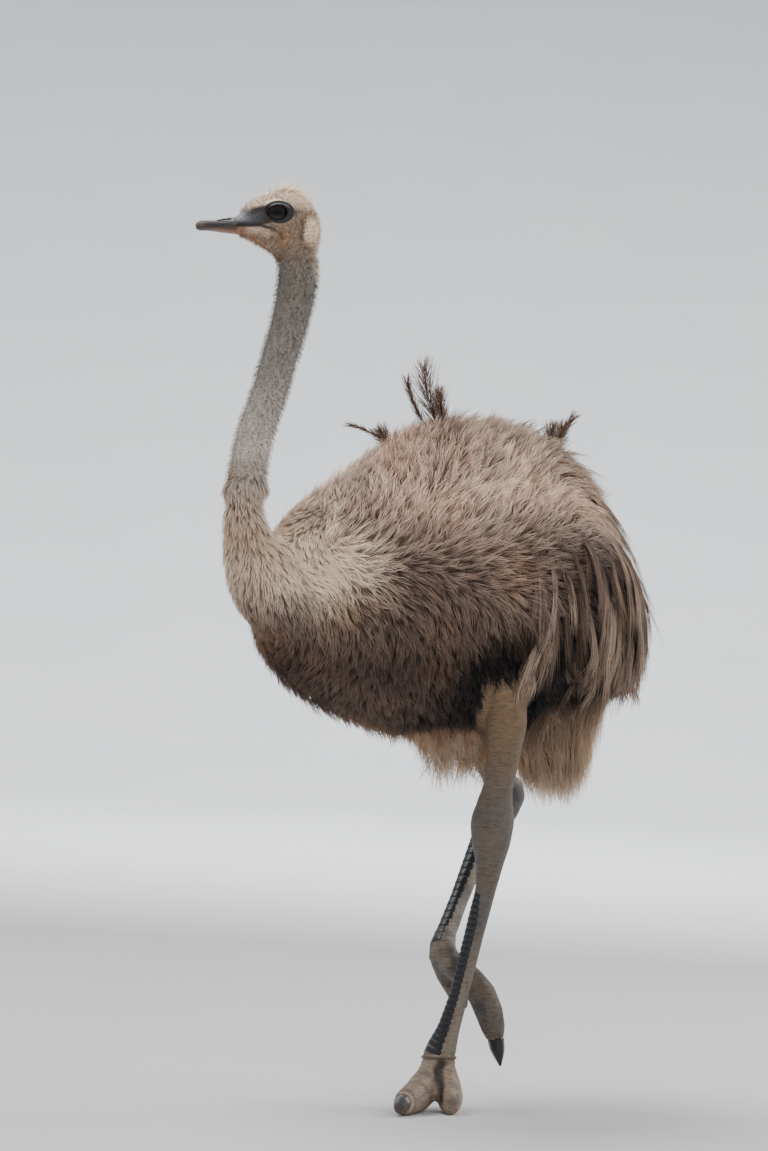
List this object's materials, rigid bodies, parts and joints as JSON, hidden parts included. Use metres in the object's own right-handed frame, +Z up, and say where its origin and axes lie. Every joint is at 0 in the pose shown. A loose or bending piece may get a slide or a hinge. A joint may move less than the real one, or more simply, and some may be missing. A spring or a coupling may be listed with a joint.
{
  "type": "hen ostrich",
  "caption": "Still, life-size hen ostrich in mid-stride, one foot planted and the other lifted, neck upright, head turned to one side, loose grey-brown plumage.",
  "frame": {"origin": "bottom centre of the bounding box, on the floor", "axes": "+Z up, -Y the way the body faces, +X to the bird's left"},
  "size_m": [0.5624, 1.1988, 1.7912],
  "materials": {
    "body_plumage": "loose soft grey-brown feathers over flesh, beige tips and dark roots",
    "wing_plumage": "long drooping brown plumes with dark gaps between them",
    "tail_plumage": "long drooping brown plumes",
    "vent_fluff": "pale tan downy plumes",
    "neck_plumage": "short mottled cream and grey-brown feathers",
    "neck_down": "short speckled grey-brown down",
    "head_down": "fine pinkish-beige hair-like down, dark skin round the eyes",
    "bill_horn": "satin grey horn with a paler ridge and a pinkish lower edge",
    "eye": "wet glossy dark brown eye",
    "thigh_skin": "bare tan-brown skin with fine wrinkles",
    "shank_scutes": "blue-black scutes in front, grey wrinkled skin behind",
    "toe_skin": "grey-beige wrinkled skin with small scales",
    "claw_horn": "satin blue-grey horn"
  },
  "bodies": {
    "root": {"trunk": "body_plumage", "wing_left": "wing_plumage", "wing_right": "wing_plumage", "tail": "tail_plumage", "vent_plumes": "vent_fluff", "neck_base": "neck_plumage", "neck_middle": "neck_down", "neck_upper": "neck_down", "head": "head_down", "bill_upper": "bill_horn", "bill_lower": "bill_horn", "eye_left": "eye", "eye_right": "eye", "drumstick_left": "thigh_skin", "shank_left": "shank_scutes", "toe_inner_left": "toe_skin", "toe_outer_left": "toe_skin", "claw_left": "claw_horn", "drumstick_right": "thigh_skin", "shank_right": "shank_scutes", "toe_inner_right": "toe_skin", "toe_outer_right": "toe_skin", "claw_right": "claw_horn"}
  },
  "joints": []
}
